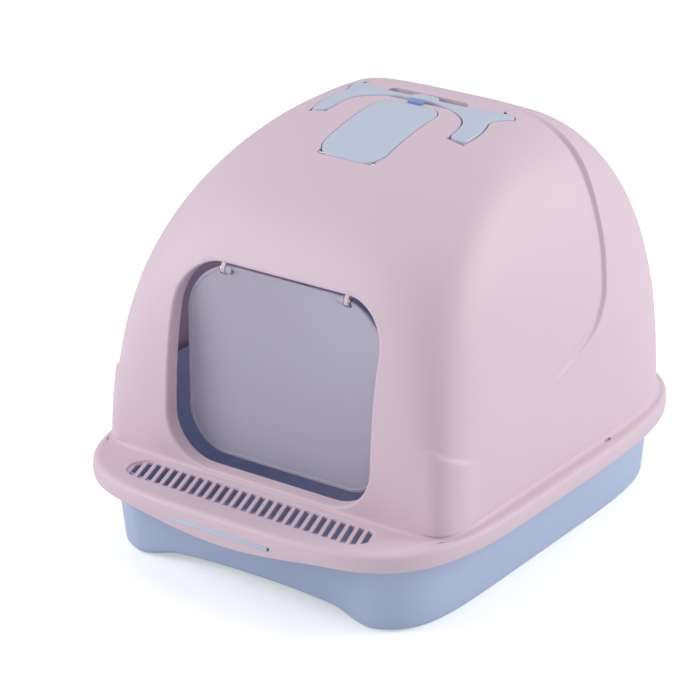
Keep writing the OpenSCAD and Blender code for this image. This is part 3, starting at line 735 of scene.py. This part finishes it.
def bent_plate(name, outline, levels, pitch=3.5):
    """Plate over a plan outline: levels are (offset outwards, height above or below the roof).
    A level with a third value is not bent: it lies on the lid's own plane."""
    ahead, behind = np.roll(outline, -1, axis=0), np.roll(outline, 1, axis=0)
    first, second = outline - behind, ahead - outline
    first /= np.linalg.norm(first, axis=1, keepdims=True)
    second /= np.linalg.norm(second, axis=1, keepdims=True)
    middle = first + second
    middle /= np.linalg.norm(middle, axis=1, keepdims=True)
    outward = np.column_stack([middle[:, 1], -middle[:, 0]])
    reach = 1 / np.clip(np.sum(outward * np.column_stack([first[:, 1], -first[:, 0]]), axis=1), 0.6, 1)
    rings = [raised(outline + outward * (offset * reach)[:, None], float(i) * 10)
             for i, (offset, *_) in enumerate(levels)]
    plate = shell_piece(name, rings)
    form = bmesh.new()
    form.from_mesh(plate.data)
    low, high = outline.min(axis=0) - 5, outline.max(axis=0) + 5
    for axis in (0, 1):
        for at in np.arange(low[axis], high[axis], pitch):
            place, facing = [0, 0, 0], [0, 0, 0]
            place[axis], facing[axis] = at * MM, 1
            bmesh.ops.bisect_plane(form, geom=form.verts[:] + form.edges[:] + form.faces[:],
                                   plane_co=place, plane_no=facing, dist=1e-7)
    bmesh.ops.triangulate(form, faces=form.faces[:])
    form.to_mesh(plate.data)
    form.free()
    points = np.zeros(len(plate.data.vertices) * 3)
    plate.data.vertices.foreach_get("co", points)
    points = points.reshape(-1, 3) / MM
    roof = roof_z(points[:, 0], points[:, 1])
    heights = np.array([roof + level[1] if len(level) == 2 else lid_plane_z(points[:, 1]) + level[1]
                        for level in levels])
    spot = np.clip(points[:, 2] / 10, 0, len(levels) - 1)
    below = np.minimum(spot.astype(int), len(levels) - 2)
    part = spot - below
    row = np.arange(len(points))
    points[:, 2] = heights[below, row] * (1 - part) + heights[below + 1, row] * part
    plate.data.vertices.foreach_set("co", (points * MM).ravel())
    plate.data.update()
    return plate


def under_roof(tool):
    """Trims a tool to what lies inside the dome's outer face."""
    shares = np.sin(np.radians(np.linspace(0, 88, 60)))
    core = [dome_ring(share, 0.7, ledge_z - 0.7 + dome_h * share) for share in shares]
    carve(tool, shell_piece("core", core), "INTERSECT")
    return tool


lid_w, lid_front, lid_rear, lid_r = 66.0, -71.0, 34.0, 17.0
lid_ends = roof_z(np.array([0.0, 0.0]), np.array([lid_front, lid_rear]))


def lid_plane_z(y):
    """Height of the flat chord under the lid."""
    return lid_ends[0] + (lid_ends[1] - lid_ends[0]) * (y - lid_front) / (lid_rear - lid_front)


lid_outline = subdivided(rounded_corners(lid_w / 2, lid_front, lid_rear, lid_r, lid_r, 12), 4)
lid_gap = 0.8
carve(hood, under_roof(bent_plate("lid_pan", lid_outline, [(3.8, -7.6, 1), (3.8, 0)])), "UNION")

pivot_y, prong_x, prong_half = -3.5, 73.0, 8.0
pivot_low, pivot_high = (np.array(corner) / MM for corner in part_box("handle_pin_right"))
pivot_z = (pivot_low[2] + pivot_high[2]) / 2
# Right half of the handle in plan: the bar, the tip that points back, and the prong.
bow = [(0, 60), (10, 60), (15, 52), (40, 52), (58, 55.5), (73, 63), (84, 68), (87, 63), (79, 47), (76, 38),
       (79, 30), (82, 17), (82, 4), (81, -7.5), (65, -7.5), (64, 6), (62.5, 15), (59, 24), (52, 31.5),
       (39, 39.5), (22, 46), (0, 48)]


def rounded_polygon(points, radius, steps=5):
    """Closed outline whose corners are eased by short arcs."""
    out = []
    points = np.array(points, float)
    for before, at, after in zip(np.roll(points, 1, axis=0), points, np.roll(points, -1, axis=0)):
        a, b = before - at, after - at
        reach = min(radius, 0.42 * np.linalg.norm(a), 0.42 * np.linalg.norm(b))
        a, b = at + a / np.linalg.norm(a) * reach, at + b / np.linalg.norm(b) * reach
        for t in np.linspace(0, 1, steps):
            out.append((1 - t) ** 2 * a + 2 * t * (1 - t) * at + t ** 2 * b)
    return np.array(out)


bow_loop = [(0, 60)] + bow[1:-1] + [(0, 48)] + [(-px, py) for px, py in bow[1:-1][::-1]]
handle_outline = subdivided(rounded_polygon(bow_loop, 5.5)[::-1], 3)
handle_gap, handle_t = 1.2, 7.0
carve(hood, under_roof(bent_plate("handle_pan", handle_outline, [(4.2, -12), (4.2, 0)])), "UNION")
finger_low, finger_high, finger_half = 40.0, 63.0, 43.0
pocket_floor = ledge_z + dome_h - 24
carve(hood, under_roof(block("pocket_pan", (-finger_half - 3, finger_low - 3, pocket_floor - 3),
                             (finger_half + 3, finger_high + 3, pocket_floor + 24))), "UNION")


def cylinder_x(name, x_low, x_high, y, z, radius, steps=40):
    """Round bar along X."""
    turns = np.linspace(0, 2 * math.pi, steps, endpoint=False)
    ring = np.column_stack([np.zeros(steps), y + radius * np.cos(turns), z + radius * np.sin(turns)])
    return shell_piece(name, [ring + [x_low, 0, 0], ring + [x_high, 0, 0]])


for side in (-1, 1):
    middle = side * prong_x
    carve(hood, under_roof(cylinder_x("pivot_pan", middle - 16, middle + 16, pivot_y, pivot_z, 10.8)), "UNION")
# The lid's pin is held in a boss at each end, and the lid's front edge turns in a groove.
hinge_low, hinge_high = (np.array(corner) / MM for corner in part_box("lid_pin"))
hinge_y, hinge_z = (hinge_low[1:] + hinge_high[1:]) / 2
boss = cylinder_x("hinge_boss", hinge_low[0] - 1.5, hinge_high[0] + 1.5, hinge_y, hinge_z, 3.5)
carve(hood, under_roof(boss), "UNION")

seat = 4.0
seat_levels = [(lid_gap, -seat, 1), (lid_gap, -2), (lid_gap, -0.7), (lid_gap + 0.25, -0.2),
               (lid_gap + 1.0, 0.6), (lid_gap + 1.0, 8)]
carve(hood, bent_plate("lid_seat", lid_outline, seat_levels))
groove_turns = np.linspace(0, 2 * math.pi, 40, endpoint=False)
groove_rings = []
for x, r in ((-30, 2.7), (-27, 3.4), (-22, 3.8), (22, 3.8), (27, 3.4), (30, 2.7)):
    groove_rings.append(np.column_stack([np.full(40, x), hinge_y + r * np.cos(groove_turns),
                                         hinge_z + r * np.sin(groove_turns)]))
carve(hood, shell_piece("hinge_groove", groove_rings))
carve(hood, cylinder_x("hinge_bore", hinge_low[0] - 0.1, hinge_high[0] + 0.1, hinge_y, hinge_z, 1.02, 24))
bed_levels = [(handle_gap, -handle_t - 1.5), (handle_gap, -2), (handle_gap, -0.8), (handle_gap + 0.3, -0.25),
              (handle_gap + 1.1, 0.6), (handle_gap + 1.1, 8)]
carve(hood, bent_plate("handle_bed", handle_outline, bed_levels))
pocket = rounded_corners(finger_half, finger_low, finger_high, 8, 8, 8)
carve(hood, prism("finger_pocket", pocket, pocket_floor, ledge_z + dome_h + 10))
for side in (-1, 1):
    middle = side * prong_x
    carve(hood, cylinder_x("pivot_pocket", middle - 9.4, middle + 9.4, pivot_y, pivot_z, 8.2))
basket_low, basket_high = (np.array(corner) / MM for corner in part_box("filter_basket"))
basket_hole = rounded_corners(26.5, lid_front + 12.3, lid_rear - 11.4, 1.5, 1.5, 4)
carve(hood, prism("basket_hole", basket_hole, 300, 400))
latch_low, latch_high = (np.array(corner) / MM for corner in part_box("filter_latch"))
carve(hood, block("latch_channel", (latch_low[0] - 0.3, lid_rear - 1, latch_low[2] - 0.3),
                  (latch_high[0] + 0.3, 48, 390)))
smooth(hood, 30)
dress(hood, hood_pink)
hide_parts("hood")
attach(hood, "hood_body")

# ---- Door flap --------------------------------------------------------------------
# A stiff frosted sheet that hangs from two pins, with a thin bead round its edge.
flap_t, flap_half_w, flap_r_low, flap_r_high = 2.5, 105, 40, 53
ear_x, ear_half, pin_hole_r = 59, 3, 2.05
notch_near, notch_far = 62, 69.5
flap_rings = []
for inset, depth in ((7.0, 0), (3.2, 0), (2.8, -0.7), (0.9, -0.7), (0.25, -0.45), (0, 0.1),
                     (0, flap_t - 0.6), (0.25, flap_t - 0.15), (0.9, flap_t), (7.0, flap_t)):
    outline = rounded_corners(flap_half_w - inset, flap_low[2] + inset, flap_high[2] - inset,
                              flap_r_low - inset, flap_r_high - inset, 16)[::-1]
    flap_rings.append(np.column_stack([outline[:, 0], np.full(len(outline), door_axis_y - flap_t / 2 + depth),
                                       outline[:, 1]]))
flap = shell_piece("flap_sheet", flap_rings)
for side in (-1, 1):
    carve(flap, cylinder_x("ear", side * ear_x - ear_half, side * ear_x + ear_half, door_axis_y, door_axis_z,
                           ear_r, 32), "UNION")
    notch = sorted((side * notch_near, side * notch_far))
    carve(flap, block("bracket_notch", (notch[0], door_axis_y - 10, door_axis_z - 5),
                      (notch[1], door_axis_y + 10, door_axis_z + 20)))
    carve(flap, cylinder_x("pin_bore", side * ear_x - 5, side * ear_x + 5, door_axis_y, door_axis_z,
                           pin_hole_r, 32))
smooth(flap, 35)
frosted = plastic("frosted", (228, 226, 239), roughness=0.5, grain=2600.0, grain_height=0.00003, specular=0.5)
frosted_surface = frosted.node_tree.nodes["Principled BSDF"]
frosted_surface.inputs["Transmission Weight"].default_value = 0.52
frosted_surface.inputs["IOR"].default_value = 1.45
dress(flap, frosted)
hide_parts("door_flap")
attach(flap, "door_body")

# ---- Lid --------------------------------------------------------------------------
# The blue lid over the charcoal filter, crowned to follow the roof and flat below.
trim_blue = plastic("trim_blue", (199, 210, 227), roughness=0.42)
lid_levels = [(-0.5, -2.5, 1), (0, -2.0, 1), (0, -0.6), (-0.2, 0.0), (-0.7, 0.35), (-1.5, 0.45)]
lid = bent_plate("lid_plate", lid_outline, lid_levels)
carve(lid, cylinder_x("hinge_barrel", -16, 16, hinge_y, hinge_z, 2.2, 32), "UNION")
carve(lid, cylinder_x("hinge_hole", -40, 40, hinge_y, hinge_z, 1.25, 24))
smooth(lid, 35)
dress(lid, trim_blue)
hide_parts("filter_lid")
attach(lid, "lid_body")

# ---- Handle -----------------------------------------------------------------------
# The bow-shaped handle lies in its bed, bent to the roof, and turns on two pins.
bow_levels = [(-1.2, -5.9), (-0.3, -5.5), (0, -4.6), (0, -0.4), (-0.25, 0.4), (-0.8, 0.85), (-1.7, 1.0)]
handle = bent_plate("handle_bow", handle_outline, bow_levels)
for side in (-1, 1):
    middle = side * prong_x
    barrel = cylinder_x("barrel", middle - prong_half, middle + prong_half, pivot_y, pivot_z, 4.0)
    carve(handle, barrel, "UNION")
smooth(handle, 35)
dress(handle, trim_blue)
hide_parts("carry_handle")
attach(handle, "handle_body")


# ---- Small mouldings --------------------------------------------------------------
# The catch of the lid, the strip in the skirt and the basket below the lid, with the
# small radius that every moulded edge has.
def merged(node):
    """Editable copy of a plain part, its loose triangles joined into flat faces."""
    form = bmesh.new()
    form.from_mesh(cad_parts[node].data)
    bmesh.ops.remove_doubles(form, verts=form.verts[:], dist=1e-6)
    bmesh.ops.dissolve_limit(form, angle_limit=math.radians(1), verts=form.verts[:], edges=form.edges[:])
    return form


def softened(node, name, radius, material, body):
    """Copy of a plain part with its edges rounded over."""
    form = merged(node)
    mesh = bpy.data.meshes.new(name)
    form.to_mesh(mesh)
    form.free()
    piece = bpy.data.objects.new(name, mesh)
    scene.collection.objects.link(piece)
    rounding = piece.modifiers.new("rounding", "BEVEL")
    rounding.width = radius * MM
    rounding.segments = 3
    rounding.limit_method = "ANGLE"
    rounding.angle_limit = math.radians(40)
    settle(piece)
    smooth(piece, 40)
    dress(piece, material)
    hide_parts(node)
    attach(piece, body)
    return piece


latch_blue = plastic("latch_blue", (138, 156, 206), roughness=0.4)
softened("filter_latch", "lid_catch", 0.5, latch_blue, "latch_body")
softened("front_strip", "skirt_strip", 0.35, trim_blue, "hood_body")
softened("filter_basket", "pad_basket", 0.3, hood_pink, "hood_body")

# ---- Charcoal pad -----------------------------------------------------------------
# A soft pad of black fibre that lies in the basket and takes the smell out of the air.
pad_low, pad_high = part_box("filter_pad")
form = merged("filter_pad")
for _ in range(5):
    bmesh.ops.subdivide_edges(form, edges=form.edges[:], cuts=1, use_grid_fill=True)
mesh = bpy.data.meshes.new("charcoal_pad")
form.to_mesh(mesh)
form.free()
pad = bpy.data.objects.new("charcoal_pad", mesh)
scene.collection.objects.link(pad)
soften = pad.modifiers.new("soften", "SMOOTH")
soften.iterations = 14
settle(pad)
smooth(pad, 180)
charcoal = bpy.data.materials.new("charcoal")
charcoal.use_nodes = True
nodes, links = charcoal.node_tree.nodes, charcoal.node_tree.links
place = nodes.new("ShaderNodeTexCoord")
fibres = nodes.new("ShaderNodeTexNoise")
fibres.inputs["Scale"].default_value = 700.0
fibres.inputs["Detail"].default_value = 6.0
links.new(place.outputs["Object"], fibres.inputs["Vector"])
speckle = nodes.new("ShaderNodeValToRGB")
speckle.color_ramp.elements[0].color = (0.006, 0.006, 0.007, 1)
speckle.color_ramp.elements[1].color = (0.06, 0.06, 0.065, 1)
links.new(fibres.outputs["Fac"], speckle.inputs["Fac"])
links.new(speckle.outputs["Color"], nodes["Principled BSDF"].inputs["Base Color"])
fluff = nodes.new("ShaderNodeBump")
fluff.inputs["Distance"].default_value = 0.0006
links.new(fibres.outputs["Fac"], fluff.inputs["Height"])
links.new(fluff.outputs["Normal"], nodes["Principled BSDF"].inputs["Normal"])
nodes["Principled BSDF"].inputs["Roughness"].default_value = 0.95
dress(pad, charcoal)
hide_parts("filter_pad")
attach(pad, "hood_body")

# ---- Pins -------------------------------------------------------------------------
# Drawn steel pins carry the door, the lid and the handle. They keep their own shape.
steel = bpy.data.materials.new("pin_steel")
steel.use_nodes = True
nodes, links = steel.node_tree.nodes, steel.node_tree.links
place = nodes.new("ShaderNodeTexCoord")
drawn_lines = nodes.new("ShaderNodeMapping")
drawn_lines.inputs["Scale"].default_value = (40.0, 3000.0, 3000.0)
scratches = nodes.new("ShaderNodeTexNoise")
scratches.inputs["Scale"].default_value = 1.0
links.new(place.outputs["Object"], drawn_lines.inputs["Vector"])
links.new(drawn_lines.outputs["Vector"], scratches.inputs["Vector"])
sheen = nodes.new("ShaderNodeMapRange")
sheen.inputs["To Min"].default_value = 0.22
sheen.inputs["To Max"].default_value = 0.4
links.new(scratches.outputs["Fac"], sheen.inputs["Value"])
links.new(sheen.outputs["Result"], nodes["Principled BSDF"].inputs["Roughness"])
nodes["Principled BSDF"].inputs["Base Color"].default_value = (0.55, 0.56, 0.58, 1)
nodes["Principled BSDF"].inputs["Metallic"].default_value = 1.0
for node in ("door_pin_left", "door_pin_right", "lid_pin", "handle_pin_left", "handle_pin_right"):
    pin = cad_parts[node]
    pin.data.materials.clear()
    pin.data.materials.append(steel)
